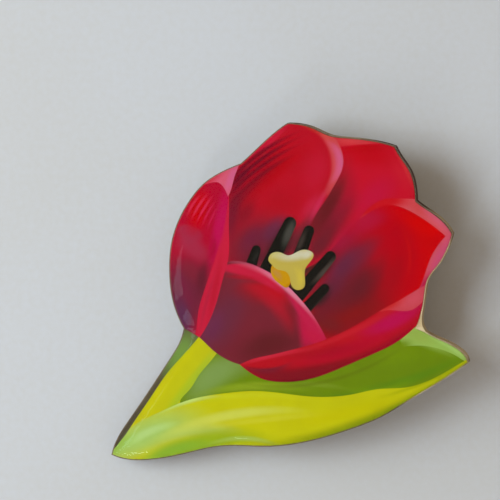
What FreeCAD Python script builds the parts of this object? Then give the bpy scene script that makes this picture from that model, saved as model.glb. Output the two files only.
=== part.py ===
import FreeCAD, Part

import math
import os

# A tulip brooch: three plies of laser-cut wood, a printed picture under a dome of clear resin,
# and a safety bar pin stuck to the back. All lengths are in millimetres, all angles in degrees.
# Every piece is built with the plate flat, its back at zero height and its face upwards.
# The finished pieces are then laid down together, as the brooch lies on a table.

Vector = FreeCAD.Vector

# Driving dimensions of the plate
plate_width = 64.8
plate_height = 61.1
veneer_thickness = 1.0
core_thickness = 1.2
print_thickness = 0.12
print_margin = 0.25
resin_height = 1.2
resin_edge_radius = 0.85
resin_edge_steps = 6

# Driving dimensions of the bar and its glue pad
pad_thickness = 0.3
pad_inset = 0.3
bar_length = 28.0
bar_width = 5.0
bar_thickness = 0.6
bar_hole_radius = 1.0
bar_hole_offset = 5.5
bar_angle = -34.0
bar_centre_share = (0.552, 0.571)

# Driving dimensions of the hinge
hinge_end_inset = 2.4
hinge_axis_height = 2.4
ear_radius = 1.3
ear_thickness = 0.5
rivet_radius = 0.5
rivet_head_radius = 0.8
rivet_head_thickness = 0.3

# Driving dimensions of the swinging stem
stem_radius = 0.4
stem_overhang = 2.2
tang_radius = 0.48
tang_length = 2.4
taper_lead = 1.8
taper_end_radius = 0.3
point_length = 1.8
point_radius = 0.08
knuckle_radius = 1.1
knuckle_width = 1.0

# Driving dimensions of the catch and its turning lock
catch_end_inset = 3.6
catch_axis_height = 3.7
housing_length = 2.8
housing_radius = 1.6
housing_bore_radius = 1.15
housing_slot_width = 1.4
foot_length = 2.2
foot_width = 2.0
roller_bore_radius = 0.6
roller_slot_width = 1.0
flange_radius = 1.85
flange_thickness = 0.4
tab_reach = 2.9
tab_width = 0.9

# Named clearances, and one overrun for every cut
rivet_clearance = 0.03
knuckle_side_clearance = 0.05
roller_clearance = 0.04
flange_side_clearance = 0.05
overrun = 1.0

# Heights worked out from the plies upwards and from the bar downwards
face_height = veneer_thickness + core_thickness + veneer_thickness
bar_face = pad_thickness + bar_thickness
hinge_x = bar_length / 2 - hinge_end_inset
catch_x = bar_length / 2 - catch_end_inset
stem_run = math.hypot(hinge_x + catch_x, catch_axis_height - hinge_axis_height)
stem_slope = math.degrees(math.atan2(catch_axis_height - hinge_axis_height, hinge_x + catch_x))
roller_half_length = housing_length / 2 + flange_side_clearance + flange_thickness
taper_start = stem_run - roller_half_length - taper_lead
tip_x = stem_run + roller_half_length + stem_overhang

# The outline of the plate, clockwise from the notch between the left and upper petals.
# Places are shares of the plate's width and height; each edge starts where the last one ends.
upper_petal_edge_shares = [(0.371, 0.882), (0.411, 0.921), (0.453, 0.962), (0.501, 1.000)]
shoulder_edge_shares = [
    (0.501, 1.000), (0.531, 0.998), (0.564, 0.990), (0.592, 0.977),
    (0.619, 0.965), (0.669, 0.958), (0.735, 0.950), (0.798, 0.933),
]
back_petal_edge_shares = [(0.798, 0.933), (0.820, 0.894), (0.842, 0.857), (0.852, 0.821), (0.856, 0.775)]
right_petal_edge_shares = [(0.856, 0.775), (0.876, 0.759), (0.906, 0.738), (0.933, 0.714), (0.956, 0.680)]
right_side_edge_shares = [
    (0.956, 0.680), (0.941, 0.633), (0.918, 0.590), (0.890, 0.549),
    (0.881, 0.508), (0.875, 0.462), (0.871, 0.429), (0.882, 0.395),
]
leaf_top_edge_shares = [
    (0.882, 0.395), (0.910, 0.379), (0.939, 0.366), (0.966, 0.351), (0.988, 0.333), (1.000, 0.306),
]
leaf_lower_edge_shares = [
    (1.000, 0.306), (0.922, 0.249), (0.840, 0.195), (0.757, 0.141), (0.673, 0.104), (0.589, 0.075),
    (0.505, 0.055), (0.426, 0.048), (0.353, 0.049), (0.294, 0.044), (0.223, 0.026), (0.137, 0.006),
    (0.074, 0.000), (0.030, 0.004), (0.000, 0.015),
]
stem_side_edge_shares = [
    (0.000, 0.015), (0.015, 0.060), (0.052, 0.122), (0.110, 0.211),
    (0.168, 0.304), (0.197, 0.356), (0.208, 0.395),
]
left_petal_edge_shares = [
    (0.208, 0.395), (0.189, 0.437), (0.175, 0.487), (0.168, 0.561), (0.173, 0.640),
    (0.196, 0.717), (0.227, 0.774), (0.270, 0.826), (0.318, 0.858), (0.371, 0.882),
]
plate_edges_shares = [
    upper_petal_edge_shares, shoulder_edge_shares, back_petal_edge_shares, right_petal_edge_shares,
    right_side_edge_shares, leaf_top_edge_shares, leaf_lower_edge_shares, stem_side_edge_shares,
    left_petal_edge_shares,
]

# The colour fields of the print, each a closed loop of edges. A field runs on under the fields
# that are cut before it and past the rim of the print, so its hidden edges are only rough.
# The pale stigma and its orange style are single smooth loops.
stigma_loop_shares = [
    (0.448, 0.605), (0.460, 0.621), (0.482, 0.622), (0.501, 0.614), (0.527, 0.624), (0.552, 0.631),
    (0.573, 0.618), (0.564, 0.596), (0.551, 0.577), (0.549, 0.548), (0.546, 0.520), (0.526, 0.513),
    (0.511, 0.527), (0.507, 0.550), (0.496, 0.566), (0.473, 0.572), (0.457, 0.586),
]
style_loop_shares = [
    (0.468, 0.594), (0.493, 0.592), (0.512, 0.568), (0.510, 0.538),
    (0.499, 0.519), (0.480, 0.529), (0.464, 0.543), (0.455, 0.562),
]

# The five dark anthers: foot, tip, and width as a share of the plate's width
anther_shares = [
    ((0.394, 0.569), (0.418, 0.642), 0.032),
    ((0.434, 0.549), (0.516, 0.725), 0.044),
    ((0.527, 0.594), (0.566, 0.701), 0.037),
    ((0.530, 0.497), (0.630, 0.624), 0.039),
    ((0.541, 0.446), (0.613, 0.528), 0.032),
]
anther_tip_share = 0.8

# The left petal, its pink tip and the fold of its inner edge
tip_lower_edge_shares = [
    (0.228, 0.793), (0.256, 0.813), (0.281, 0.822), (0.309, 0.825), (0.326, 0.807), (0.335, 0.785),
]
tip_inner_edge_shares = [(0.335, 0.785), (0.345, 0.809), (0.353, 0.840), (0.363, 0.867), (0.374, 0.896)]
tip_overrun_shares = [(0.374, 0.896), (0.327, 0.905), (0.214, 0.831), (0.200, 0.780), (0.228, 0.793)]
fold_right_edge_shares = [
    (0.337, 0.795), (0.338, 0.744), (0.337, 0.701), (0.338, 0.648), (0.335, 0.601),
    (0.323, 0.554), (0.307, 0.492), (0.290, 0.439), (0.272, 0.399), (0.240, 0.352),
]
fold_left_edge_shares = [
    (0.240, 0.352), (0.246, 0.400), (0.252, 0.453), (0.268, 0.509), (0.285, 0.562),
    (0.305, 0.624), (0.321, 0.686), (0.331, 0.739), (0.337, 0.795),
]
left_petal_overrun_shares = [
    (0.244, 0.340), (0.112, 0.380), (0.114, 0.772), (0.299, 0.919), (0.3375, 0.815), (0.3366, 0.787),
    (0.335, 0.740), (0.330, 0.690), (0.300, 0.560), (0.262, 0.430), (0.244, 0.340),
]

# The lower edge of the whole flower, from the left notch to the right one
flower_left_foot_shares = [
    (0.160, 0.412), (0.207, 0.397), (0.228, 0.385), (0.252, 0.370), (0.267, 0.356), (0.292, 0.331),
    (0.332, 0.304), (0.366, 0.291),
]
flower_right_foot_shares = [
    (0.366, 0.291), (0.394, 0.268), (0.433, 0.248), (0.483, 0.241), (0.534, 0.245), (0.590, 0.260),
    (0.673, 0.297), (0.757, 0.337), (0.812, 0.370), (0.850, 0.405), (0.872, 0.430),
]
flower_overrun_shares = [(0.872, 0.430), (1.060, 0.430), (1.060, 1.060), (0.100, 1.060), (0.160, 0.412)]

# The lower petal under the flower's mouth, and the glow at its right end
lower_petal_top_edge_shares = [
    (0.340, 0.279), (0.366, 0.291), (0.400, 0.307), (0.450, 0.320), (0.506, 0.335), (0.557, 0.350),
    (0.610, 0.370), (0.660, 0.394), (0.715, 0.427), (0.771, 0.463), (0.826, 0.496), (0.856, 0.516),
    (0.892, 0.537),
]
lower_petal_overrun_shares = [(0.892, 0.537), (0.930, 0.400), (0.500, 0.200), (0.340, 0.279)]
glow_lower_edge_shares = [
    (0.755, 0.449), (0.790, 0.457), (0.818, 0.455), (0.845, 0.459), (0.864, 0.473), (0.890, 0.500),
]
glow_overrun_shares = [(0.890, 0.500), (0.930, 0.560), (0.820, 0.560), (0.755, 0.449)]

# Bare wood in the notch between the lower petal and the leaf
lower_petal_side_edge_shares = [
    (0.892, 0.537), (0.880, 0.511), (0.875, 0.485), (0.868, 0.453), (0.862, 0.429), (0.852, 0.404),
]
bare_notch_overrun_shares = [
    (0.852, 0.404), (0.877, 0.393), (0.910, 0.398), (0.940, 0.480), (0.892, 0.537),
]

# The front petal and its pink rim
front_petal_edge_shares = [
    (0.318, 0.586), (0.336, 0.594), (0.367, 0.595), (0.401, 0.587), (0.434, 0.572), (0.471, 0.550),
    (0.507, 0.518), (0.543, 0.478), (0.571, 0.440), (0.593, 0.402), (0.622, 0.340),
]
front_petal_overrun_shares = [
    (0.622, 0.340), (0.400, 0.200), (0.250, 0.340), (0.262, 0.420), (0.290, 0.500), (0.318, 0.586),
]
front_rim_inner_edge_shares = [
    (0.540, 0.337), (0.539, 0.372), (0.530, 0.421), (0.512, 0.465), (0.490, 0.500), (0.468, 0.526),
    (0.431, 0.536), (0.389, 0.530), (0.356, 0.534), (0.332, 0.551), (0.314, 0.590),
]
front_rim_overrun_shares = [(0.314, 0.590), (0.320, 0.630), (0.500, 0.620), (0.680, 0.370), (0.540, 0.337)]

# The upper petal and the pink band inside its right edge
upper_petal_right_edge_shares = [
    (0.600, 0.996), (0.629, 0.960), (0.647, 0.931), (0.656, 0.898), (0.652, 0.864),
    (0.634, 0.825), (0.611, 0.783), (0.584, 0.741), (0.566, 0.705), (0.545, 0.650), (0.524, 0.577),
]
upper_petal_overrun_shares = [
    (0.524, 0.577), (0.493, 0.506), (0.327, 0.524), (0.320, 0.774),
    (0.350, 0.900), (0.495, 1.030), (0.600, 0.996),
]
upper_rim_inner_edge_shares = [
    (0.560, 0.685), (0.588, 0.754), (0.615, 0.808), (0.623, 0.854),
    (0.620, 0.902), (0.605, 0.947), (0.572, 1.010),
]
upper_rim_overrun_shares = [(0.572, 1.010), (0.680, 1.010), (0.700, 0.900), (0.560, 0.685)]

# The right petal and its pink rim
right_petal_top_edge_shares = [
    (0.878, 0.779), (0.840, 0.781), (0.798, 0.783), (0.768, 0.780), (0.741, 0.767), (0.718, 0.746),
    (0.703, 0.724),
]
right_petal_left_edge_shares = [
    (0.703, 0.724), (0.674, 0.693), (0.638, 0.651), (0.596, 0.605), (0.550, 0.575), (0.485, 0.550),
]
right_petal_overrun_shares = [
    (0.485, 0.550), (0.480, 0.330), (0.660, 0.330), (0.870, 0.470),
    (0.930, 0.520), (1.018, 0.663), (0.878, 0.779),
]
right_rim_inner_edge_shares = [
    (0.696, 0.718), (0.729, 0.742), (0.757, 0.757), (0.787, 0.763),
    (0.820, 0.755), (0.862, 0.732), (0.900, 0.705), (0.936, 0.674),
]
right_rim_lower_edge_shares = [(0.936, 0.674), (0.915, 0.646), (0.896, 0.611), (0.881, 0.568), (0.852, 0.500)]
right_rim_overrun_shares = [
    (0.852, 0.500), (0.922, 0.488), (1.018, 0.663), (0.878, 0.820), (0.700, 0.800), (0.696, 0.718),
]

# The back petal and the light lip along its top
back_petal_overrun_shares = [
    (0.451, 0.482), (0.536, 1.030), (0.921, 1.008), (0.922, 0.734), (0.674, 0.485), (0.451, 0.482),
]
back_lip_lower_edge_shares = [(0.600, 0.922), (0.640, 0.930), (0.680, 0.935), (0.720, 0.938), (0.790, 0.943)]
back_lip_overrun_shares = [(0.790, 0.943), (0.790, 1.000), (0.600, 1.008), (0.600, 0.922)]

# The leaves and the stem
front_leaf_side_edge_shares = [(-0.035, -0.010), (0.009, 0.033), (0.055, 0.094)]
front_leaf_top_edge_shares = [
    (0.055, 0.094), (0.095, 0.123), (0.147, 0.149), (0.198, 0.174), (0.252, 0.192), (0.323, 0.205),
    (0.399, 0.213), (0.478, 0.209), (0.548, 0.201), (0.618, 0.200), (0.687, 0.210), (0.757, 0.226),
    (0.818, 0.230), (0.867, 0.243), (0.922, 0.270), (0.972, 0.301), (1.016, 0.330),
]
front_leaf_overrun_shares = [
    (1.016, 0.330), (1.016, 0.257), (0.812, 0.107), (0.421, -0.020), (-0.035, -0.046), (-0.035, -0.010),
]
stem_left_edge_shares = [
    (0.253, 0.373), (0.210, 0.319), (0.162, 0.261), (0.116, 0.190), (0.075, 0.127), (0.041, 0.072),
]
stem_overrun_shares = [(0.041, 0.072), (0.080, 0.032), (0.210, 0.165)]
stem_right_edge_shares = [
    (0.210, 0.165), (0.198, 0.174), (0.221, 0.210), (0.250, 0.256), (0.278, 0.292), (0.312, 0.339),
]
stem_top_overrun_shares = [(0.312, 0.339), (0.330, 0.430), (0.280, 0.420), (0.253, 0.373)]
leaf_shadow_overrun_shares = [
    (0.270, 0.430), (0.240, 0.320), (0.140, 0.160), (0.070, 0.040), (0.060, -0.031), (-0.048, -0.031),
    (-0.048, 0.059), (0.120, 0.430), (0.270, 0.430),
]
back_leaf_overrun_shares = [
    (0.900, 0.460), (1.060, 0.360), (1.060, 0.257), (0.618, 0.120),
    (0.100, 0.060), (0.198, 0.330), (0.240, 0.460), (0.900, 0.460),
]
leaf_rim_lower_edge_shares = [
    (0.818, 0.350), (0.848, 0.354), (0.880, 0.354), (0.914, 0.347),
    (0.950, 0.334), (0.975, 0.320), (1.005, 0.298),
]
leaf_rim_overrun_shares = [(1.005, 0.298), (1.032, 0.345), (0.900, 0.460), (0.800, 0.420), (0.818, 0.350)]


# Curves and outlines

def place(share):
    return Vector(plate_width * share[0], plate_height * share[1], 0)


def curve_through(points):
    # One curve through the points, or a straight line between two of them.
    if len(points) == 2:
        return Part.LineSegment(points[0], points[1])
    curve = Part.BSplineCurve()
    curve.interpolate(points)
    return curve


def smooth_edge(shares):
    return curve_through([place(share) for share in shares])


def closed_loop(shares):
    curve = Part.BSplineCurve()
    curve.interpolate([place(share) for share in shares], PeriodicFlag=True)
    return Part.Face(Part.Wire([curve.toShape()]))


def edged_face(smooth_shares, straight_shares):
    # Smooth edges, and rough straight ones to close them, in any order.
    edges = [smooth_edge(shares).toShape() for shares in smooth_shares]
    for shares in straight_shares:
        edges += [smooth_edge(ends).toShape() for ends in zip(shares, shares[1:])]
    return Part.Face(Part.Wire(Part.__sortEdges__(edges)))


def raised(face, bottom, thickness):
    # A flat face at zero height made into a solid of a thickness, with its underside at bottom.
    low = face.copy()
    low.translate(Vector(0, 0, bottom))
    return low.extrude(Vector(0, 0, thickness))


# The plate

def plate_face():
    return Part.Face(Part.Wire([smooth_edge(shares).toShape() for shares in plate_edges_shares]))


def inward(curve, point):
    # The outline runs clockwise, so the plate lies to the right of it.
    along = curve.tangent(curve.parameter(point))[0]
    return Vector(along.y, -along.x, 0).normalize()


def inset_plate_wire(margin):
    # Every point of the outline moved in by the margin, and each corner along its bisector.
    curves = [smooth_edge(shares) for shares in plate_edges_shares]
    starts = []
    for number, shares in enumerate(plate_edges_shares):
        corner = place(shares[0])
        before = inward(curves[number - 1], corner)
        after = inward(curves[number], corner)
        starts.append(corner + (before + after) * (margin / (1 + before.dot(after))))
    edges = []
    for number, shares in enumerate(plate_edges_shares):
        middle = [place(share) + inward(curves[number], place(share)) * margin for share in shares[1:-1]]
        end = starts[(number + 1) % len(starts)]
        edges.append(curve_through([starts[number], *middle, end]).toShape())
    return Part.Wire(edges)


def back_veneer():
    return raised(plate_face(), 0, veneer_thickness)


def core_veneer():
    return raised(plate_face(), veneer_thickness, core_thickness)


def front_veneer():
    return raised(plate_face(), veneer_thickness + core_thickness, veneer_thickness)


def resin_dome(sheet):
    # Clear resin over the print and the bare wood round it. Its edge rises straight from the plate
    # and then rounds over in steps, each step's outline drawn in along a quarter circle.
    top = face_height + print_thickness + resin_height
    outlines = [(0, face_height)]
    for step in range(resin_edge_steps + 1):
        angle = math.radians(90 * step / resin_edge_steps)
        drawn_in = resin_edge_radius * (1 - math.cos(angle))
        dropped = resin_edge_radius * (1 - math.sin(angle))
        outlines.append((drawn_in, top - dropped))
    wires = []
    for margin, height in outlines:
        wire = inset_plate_wire(margin)
        wire.translate(Vector(0, 0, height))
        wires.append(wire)
    dome = Part.makeLoft(wires, True, True)
    for face in sheet:
        dome = dome.cut(raised(face, face_height, print_thickness))
    return dome


# The colour fields of the print

def anther_face(foot_share, tip_share, width_share):
    # A long oval: straight flanks with a round end about its foot and a narrower one at its tip.
    foot = place(foot_share)
    tip = place(tip_share)
    along = (tip - foot).normalize()
    across = Vector(-along.y, along.x, 0)
    foot_radius = plate_width * width_share / 2
    tip_radius = foot_radius * anther_tip_share
    tip_centre = tip - along * tip_radius
    foot_left = foot + across * foot_radius
    foot_right = foot - across * foot_radius
    tip_left = tip_centre + across * tip_radius
    tip_right = tip_centre - across * tip_radius
    edges = [
        Part.LineSegment(foot_left, tip_left).toShape(),
        Part.Arc(tip_left, tip, tip_right).toShape(),
        Part.LineSegment(tip_right, foot_right).toShape(),
        Part.Arc(foot_right, foot - along * foot_radius, foot_left).toShape(),
    ]
    return Part.Face(Part.Wire(edges))


def anther_faces():
    first, *others = [anther_face(*row) for row in anther_shares]
    return first.multiFuse(others)


def split(faces, cutter):
    # Parts flat faces into what lies inside the cutter and what lies outside it.
    inside = [part for face in faces for part in face.common(cutter).Faces]
    outside = [part for face in faces for part in face.cut(cutter).Faces]
    return inside, outside


def print_sheet():
    # The whole picture: a small margin inside the plate's edge, with the notch by the leaf left bare.
    bare_notch = edged_face([lower_petal_side_edge_shares], [bare_notch_overrun_shares])
    return split([Part.Face(inset_plate_wire(print_margin))], bare_notch)[1]


def flower_face():
    return edged_face([flower_left_foot_shares, flower_right_foot_shares], [flower_overrun_shares])


def flower_fields():
    # Each field's name and face, from the uppermost field to the one under all the others.
    return [
        ("stigma_print", closed_loop(stigma_loop_shares)),
        ("style_print", closed_loop(style_loop_shares)),
        ("left_petal_tip_print", edged_face(
            [tip_lower_edge_shares, tip_inner_edge_shares], [tip_overrun_shares])),
        ("left_petal_fold_print", edged_face([fold_right_edge_shares, fold_left_edge_shares], [])),
        ("left_petal_print", edged_face([], [left_petal_overrun_shares])),
        ("lower_petal_print", edged_face([lower_petal_top_edge_shares], [lower_petal_overrun_shares])),
        ("front_petal_print", edged_face([front_petal_edge_shares], [front_petal_overrun_shares])),
        ("stamens_print", anther_faces()),
        ("upper_petal_print", edged_face([upper_petal_right_edge_shares], [upper_petal_overrun_shares])),
        ("right_petal_print", edged_face(
            [right_petal_top_edge_shares, right_petal_left_edge_shares], [right_petal_overrun_shares])),
        ("back_petal_print", edged_face([], [back_petal_overrun_shares])),
    ]


def leaf_fields():
    return [
        ("front_leaf_print", edged_face(
            [front_leaf_side_edge_shares, front_leaf_top_edge_shares], [front_leaf_overrun_shares])),
        ("stem_print", edged_face(
            [stem_left_edge_shares, stem_right_edge_shares], [stem_overrun_shares, stem_top_overrun_shares])),
        ("leaf_shadow_print", edged_face([], [leaf_shadow_overrun_shares])),
        ("back_leaf_print", edged_face([], [back_leaf_overrun_shares])),
    ]


def rim_fields():
    # The bands along the edge of a petal or leaf, each cut out of the field that it belongs to.
    return {
        "lower_petal_print": ("lower_petal_glow_print", edged_face(
            [glow_lower_edge_shares], [glow_overrun_shares])),
        "front_petal_print": ("front_petal_rim_print", edged_face(
            [front_rim_inner_edge_shares], [front_rim_overrun_shares])),
        "upper_petal_print": ("upper_petal_rim_print", edged_face(
            [upper_rim_inner_edge_shares], [upper_rim_overrun_shares])),
        "right_petal_print": ("right_petal_rim_print", edged_face(
            [right_rim_inner_edge_shares, right_rim_lower_edge_shares], [right_rim_overrun_shares])),
        "back_petal_print": ("back_petal_lip_print", edged_face(
            [back_lip_lower_edge_shares], [back_lip_overrun_shares])),
        "back_leaf_print": ("back_leaf_rim_print", edged_face(
            [leaf_rim_lower_edge_shares], [leaf_rim_overrun_shares])),
    }


def print_fields(sheet):
    # What is left of the sheet under each field, once the fields above it are taken out.
    fields = {}
    rims = rim_fields()
    flower, leaves = split(sheet, flower_face())
    for rest, plan in ((flower, flower_fields()), (leaves, leaf_fields())):
        for name, face in plan:
            field, rest = split(rest, face)
            if name in rims:
                rim_name, rim_face = rims[name]
                fields[rim_name], field = split(field, rim_face)
            fields[name] = field
    return {name: Part.makeCompound([raised(face, face_height, print_thickness) for face in faces])
            for name, faces in fields.items()}


# The bar pin. It is built with its bar along X, the plate's back at zero height and the pin above.

def rounded_bar(length, width, bottom, thickness):
    radius = width / 2
    straight = length - width
    bar = Part.makeBox(straight, width, thickness, Vector(-straight / 2, -radius, bottom))
    for end in (-straight / 2, straight / 2):
        bar = bar.fuse(Part.makeCylinder(radius, thickness, Vector(end, 0, bottom)))
    return bar.removeSplitter()


def glue_pad():
    return rounded_bar(bar_length - 2 * pad_inset, bar_width - 2 * pad_inset, 0, pad_thickness)


def across_bar(radius, y_start, y_end, x, z):
    return Part.makeCylinder(radius, y_end - y_start, Vector(x, y_start, z), Vector(0, 1, 0))


def base_bar():
    # A flat bar with two holes, and two ears bent up round the rivet.
    bar = rounded_bar(bar_length, bar_width, pad_thickness, bar_thickness)
    for x in (-bar_hole_offset, bar_hole_offset):
        hole_start = Vector(x, 0, pad_thickness - overrun)
        bar = bar.cut(Part.makeCylinder(bar_hole_radius, bar_thickness + 2 * overrun, hole_start))
    axis_z = bar_face + hinge_axis_height
    ear_inner = knuckle_width / 2 + knuckle_side_clearance
    for side in (-1, 1):
        y_start = min(side * ear_inner, side * (ear_inner + ear_thickness))
        upright = Part.makeBox(
            2 * ear_radius, ear_thickness, hinge_axis_height + bar_thickness,
            Vector(-hinge_x - ear_radius, y_start, pad_thickness))
        ear = upright.fuse(across_bar(ear_radius, y_start, y_start + ear_thickness, -hinge_x, axis_z))
        bar = bar.fuse(ear)
    reach = ear_inner + ear_thickness + overrun
    return bar.cut(across_bar(rivet_radius, -reach, reach, -hinge_x, axis_z)).removeSplitter()


def hinge_rivet():
    axis_z = bar_face + hinge_axis_height
    ear_outer = knuckle_width / 2 + knuckle_side_clearance + ear_thickness
    head_end = ear_outer + rivet_head_thickness
    rivet = across_bar(rivet_radius, -ear_outer, ear_outer, -hinge_x, axis_z)
    rivet = rivet.fuse(across_bar(rivet_head_radius, ear_outer, head_end, -hinge_x, axis_z))
    rivet = rivet.fuse(across_bar(rivet_head_radius, -head_end, -ear_outer, -hinge_x, axis_z))
    return rivet.removeSplitter()


# The stem, the catch's tube and the lock are built about the stem's own line, from the rivet along X

def along_stem(radius, x_start, x_end):
    return Part.makeCylinder(radius, x_end - x_start, Vector(x_start, 0, 0), Vector(1, 0, 0))


def slot_block(width, x_start, x_end):
    # The way out of the catch, from the stem's line away from the plate.
    depth = flange_radius + overrun
    return Part.makeBox(x_end - x_start, width, depth, Vector(x_start, -width / 2, 0))


def tilted_to_stem(shape):
    # Turns a piece from the stem's line to its place above the bar.
    shape.Placement = FreeCAD.Placement(
        Vector(-hinge_x, 0, bar_face + hinge_axis_height),
        FreeCAD.Rotation(Vector(0, 1, 0), -stem_slope)).multiply(shape.Placement)
    return shape


def stem_cone(x_start, x_end, start_radius, end_radius):
    return Part.makeCone(
        start_radius, end_radius, x_end - x_start, Vector(x_start, 0, 0), Vector(1, 0, 0))


def pin_stem():
    # An eye round the rivet, a tang that narrows, a straight wire, and a slight taper through the catch
    # that ends in the point.
    point_start = tip_x - point_length
    eye = Part.makeCylinder(
        knuckle_radius, knuckle_width, Vector(0, -knuckle_width / 2, 0), Vector(0, 1, 0))
    bore = Part.makeCylinder(
        rivet_radius + rivet_clearance, knuckle_width + 2 * overrun,
        Vector(0, -knuckle_width / 2 - overrun, 0), Vector(0, 1, 0))
    tang_start = knuckle_radius - tang_radius
    stem = eye.fuse(stem_cone(tang_start, tang_length, tang_radius, stem_radius)).cut(bore)
    stem = stem.fuse(along_stem(stem_radius, tang_length, taper_start))
    stem = stem.fuse(stem_cone(taper_start, point_start, stem_radius, taper_end_radius))
    stem = stem.fuse(stem_cone(point_start, tip_x, taper_end_radius, point_radius))
    return tilted_to_stem(stem.removeSplitter())


def catch_housing():
    start = stem_run - housing_length / 2
    end = stem_run + housing_length / 2
    tube = tilted_to_stem(along_stem(housing_radius, start, end))
    foot_corner = Vector(catch_x - foot_length / 2, -foot_width / 2, bar_face)
    foot = Part.makeBox(foot_length, foot_width, catch_axis_height, foot_corner)
    bore = tilted_to_stem(along_stem(housing_bore_radius, start - overrun, end + overrun))
    way_out = tilted_to_stem(slot_block(housing_slot_width, start - overrun, end + overrun))
    return tube.fuse(foot).cut(bore).cut(way_out).removeSplitter()


def catch_roller():
    # A slit tube with a flange at each end, and a finger tab on the outer flange.
    start = stem_run - roller_half_length
    end = stem_run + roller_half_length
    body = along_stem(housing_bore_radius - roller_clearance, start, end)
    body = body.fuse(along_stem(flange_radius, start, start + flange_thickness))
    body = body.fuse(along_stem(flange_radius, end - flange_thickness, end))
    tab_start = end - flange_thickness
    tab_length = tab_reach - tab_width / 2
    tab = Part.makeBox(flange_thickness, tab_length, tab_width, Vector(tab_start, 0, -tab_width / 2))
    tab_end = Part.makeCylinder(
        tab_width / 2, flange_thickness, Vector(tab_start, tab_length, 0), Vector(1, 0, 0))
    body = body.fuse(tab).fuse(tab_end)
    bore = along_stem(roller_bore_radius, start - overrun, end + overrun)
    way_out = slot_block(roller_slot_width, start - overrun, end + overrun)
    return tilted_to_stem(body.cut(bore).cut(way_out).removeSplitter())


# Places: from the bar's own frame to the back of the plate, and from there to the table

def bar_placement():
    turn = FreeCAD.Rotation(Vector(0, 0, 1), bar_angle).multiply(FreeCAD.Rotation(Vector(1, 0, 0), 180))
    return FreeCAD.Placement(place(bar_centre_share), turn)


def stem_placement():
    lift = FreeCAD.Placement(
        Vector(-hinge_x, 0, bar_face + hinge_axis_height), FreeCAD.Rotation(Vector(0, 1, 0), -stem_slope))
    return bar_placement().multiply(lift)


def table_turn():
    # The brooch rests on the corner of its stem, its hinge ears and the outer flange of its lock.
    # The flange stands on the two sides of its slot, a little short of its full radius.
    flange_foot = math.sqrt(flange_radius ** 2 - (roller_slot_width / 2) ** 2)
    corner = place(stem_side_edge_shares[0])
    ears = bar_placement().multVec(Vector(-hinge_x, 0, bar_face + hinge_axis_height + ear_radius))
    flange = stem_placement().multVec(Vector(stem_run + roller_half_length, 0, flange_foot))
    upwards = (flange - corner).cross(ears - corner).normalize()
    return FreeCAD.Placement(Vector(0, 0, 0), FreeCAD.Rotation(upwards, Vector(0, 0, 1)))


def moved(shape, placement):
    shape.Placement = placement.multiply(shape.Placement)
    return shape


def make_pieces():
    sheet = print_sheet()
    pieces = {
        "back_veneer": back_veneer(),
        "core_veneer": core_veneer(),
        "front_veneer": front_veneer(),
        "resin_dome": resin_dome(sheet),
    }
    pieces.update(print_fields(sheet))
    for make in (glue_pad, base_bar, hinge_rivet, pin_stem, catch_housing, catch_roller):
        pieces[make.__name__] = moved(make(), bar_placement())
    return pieces


def table_placement(pieces):
    # Turned to rest on the table, then moved so that the middle of its box's underside is the origin.
    turn = table_turn()
    turned = Part.makeCompound([moved(shape.copy(), turn) for shape in pieces.values()])
    box = turned.optimalBoundingBox(False)
    shift = Vector(-box.Center.x, -box.Center.y, -box.ZMin)
    return FreeCAD.Placement(shift, FreeCAD.Rotation()).multiply(turn)


def axis_text(point, direction):
    metres = [round(value / 1000, 6) for value in point]
    unit = [round(value, 6) for value in direction]
    return f"point {metres} axis {unit}"


def print_places(laid):
    # The places and directions that the joints and mounts take.
    bar = laid.multiply(bar_placement())
    stem = laid.multiply(stem_placement())
    swing = axis_text(stem.multVec(Vector(0, 0, 0)), stem.Rotation.multVec(Vector(0, -1, 0)))
    turn = axis_text(stem.multVec(Vector(stem_run, 0, 0)), stem.Rotation.multVec(Vector(1, 0, 0)))
    straight_middle = Vector((tang_length + taper_start) / 2, 0, 0)
    middle = axis_text(stem.multVec(straight_middle), stem.Rotation.multVec(Vector(1, 0, 0)))
    back = axis_text(bar.multVec(Vector(0, 0, 0)), bar.Rotation.multVec(Vector(0, 0, 1)))
    print("pin_swing", swing)
    print("lock_turn", turn)
    print("stem middle", middle)
    print("back of plate", back)
    print("stem straight length", round(taper_start - tang_length, 3), "radius", stem_radius)


def main():
    os.makedirs("parts", exist_ok=True)
    pieces = make_pieces()
    laid = table_placement(pieces)
    print_places(laid)
    for name, shape in pieces.items():
        moved(shape, laid)
        solids = len(shape.Solids)
        print(name, "solids", solids, "volume", round(shape.Volume, 3), "valid", shape.isValid())
        shape.exportStep(f"parts/{name}.step")


main()
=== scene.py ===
import math

import bmesh
import bpy
from mathutils import Matrix, Vector, geometry, kdtree


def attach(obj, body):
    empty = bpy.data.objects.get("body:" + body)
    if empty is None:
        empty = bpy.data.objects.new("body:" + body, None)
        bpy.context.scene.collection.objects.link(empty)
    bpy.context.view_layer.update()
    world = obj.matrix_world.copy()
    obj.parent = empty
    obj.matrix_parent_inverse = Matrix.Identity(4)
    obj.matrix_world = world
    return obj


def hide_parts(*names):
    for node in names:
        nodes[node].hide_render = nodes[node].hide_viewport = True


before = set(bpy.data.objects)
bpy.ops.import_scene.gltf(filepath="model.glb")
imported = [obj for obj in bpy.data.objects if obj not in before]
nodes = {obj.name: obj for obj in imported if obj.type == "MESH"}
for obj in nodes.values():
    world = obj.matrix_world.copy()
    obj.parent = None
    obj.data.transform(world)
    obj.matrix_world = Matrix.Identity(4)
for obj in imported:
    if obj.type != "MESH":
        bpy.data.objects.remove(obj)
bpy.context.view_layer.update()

# A tulip brooch lying face up on a pale table. The plies, the print and the bar pin are the packed
# pieces with their finishes. The resin over the print is modelled here, with its soft meniscus.
# Lengths are in metres. Patterns read places in millimetres from the plate's lower left corner.

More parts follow.
